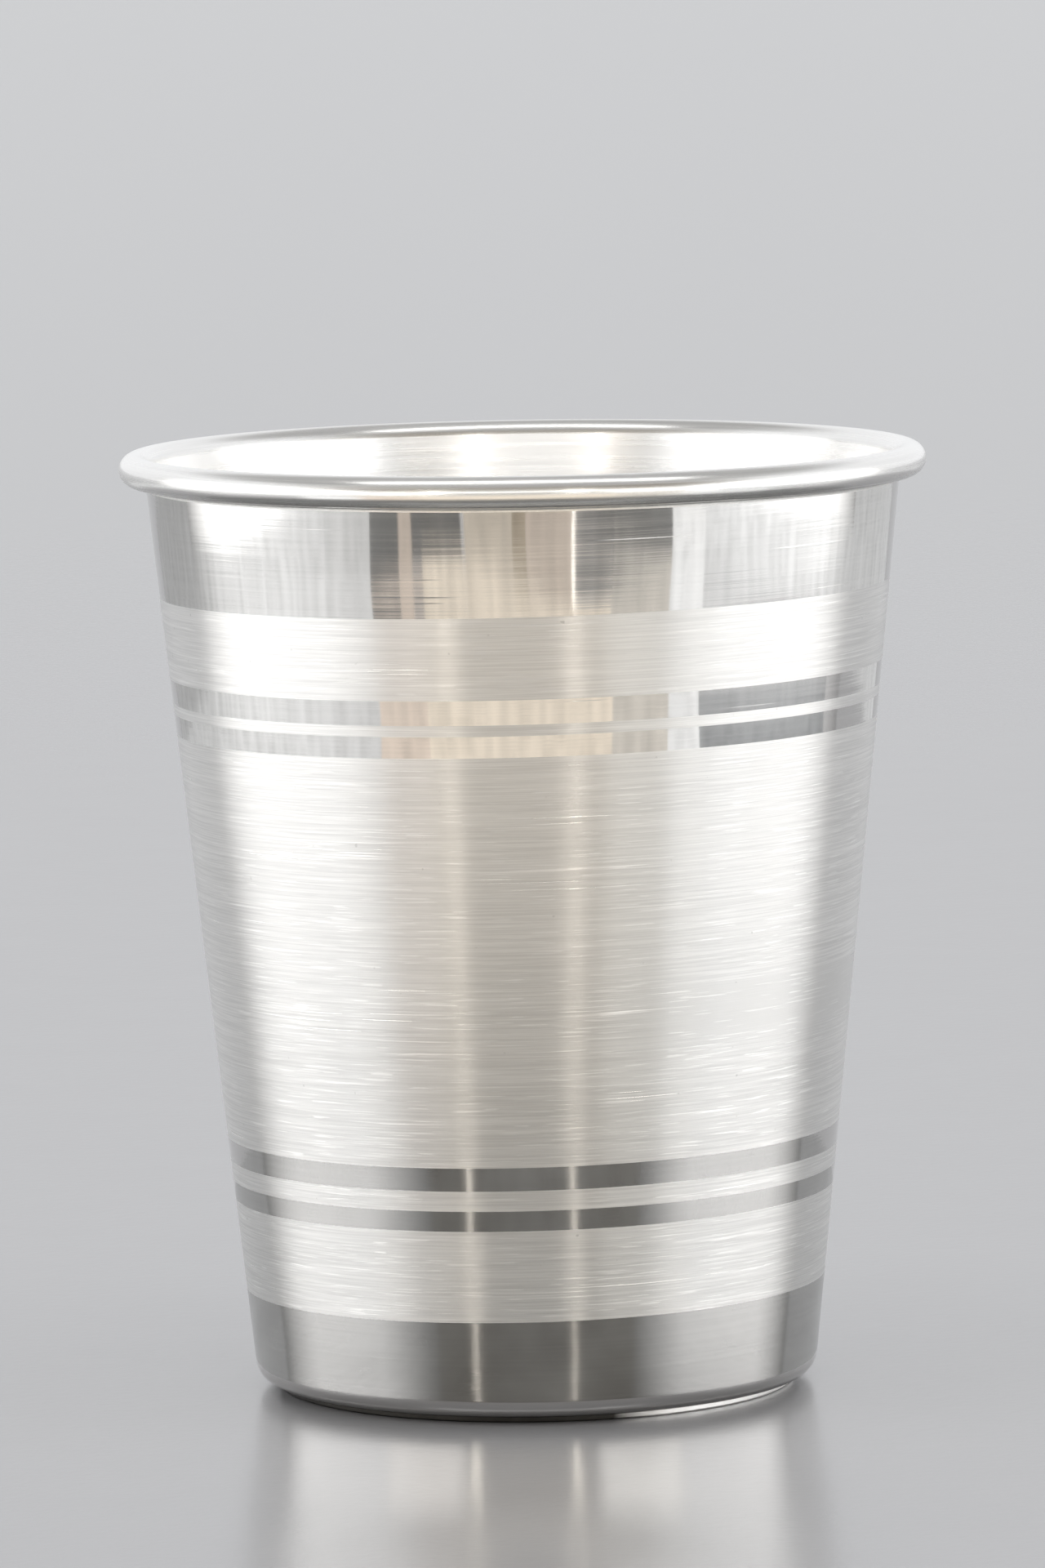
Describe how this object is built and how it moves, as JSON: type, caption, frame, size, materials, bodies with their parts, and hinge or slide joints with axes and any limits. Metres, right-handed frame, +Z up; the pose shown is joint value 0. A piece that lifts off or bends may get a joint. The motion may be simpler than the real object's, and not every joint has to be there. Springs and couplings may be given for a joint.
{
  "type": "drinking tumbler",
  "caption": "Tapered sheet-silver drinking tumbler with a rolled rim, polished bands and stripes on a satin wall, and a flat soldered base plate.",
  "frame": {"origin": "middle of the resting face, under the base plate", "axes": "+Z up along the tumbler's axis; X and Y are alike, because the tumbler is round"},
  "size_m": [0.076, 0.076, 0.0888],
  "materials": {
    "satin_silver": "satin silver brushed round the axis, with polished bands and stripes",
    "polished_silver": "polished silver with faint turning lines",
    "drawn_silver_wire": "drawn wire",
    "silver_solder": "dull solder, wiped smooth"
  },
  "bodies": {
    "root": {"body_wall": "satin_silver", "rim_wire": "drawn_silver_wire", "rim_solder": "silver_solder", "base_plate": "polished_silver", "base_solder": "silver_solder"}
  },
  "joints": []
}
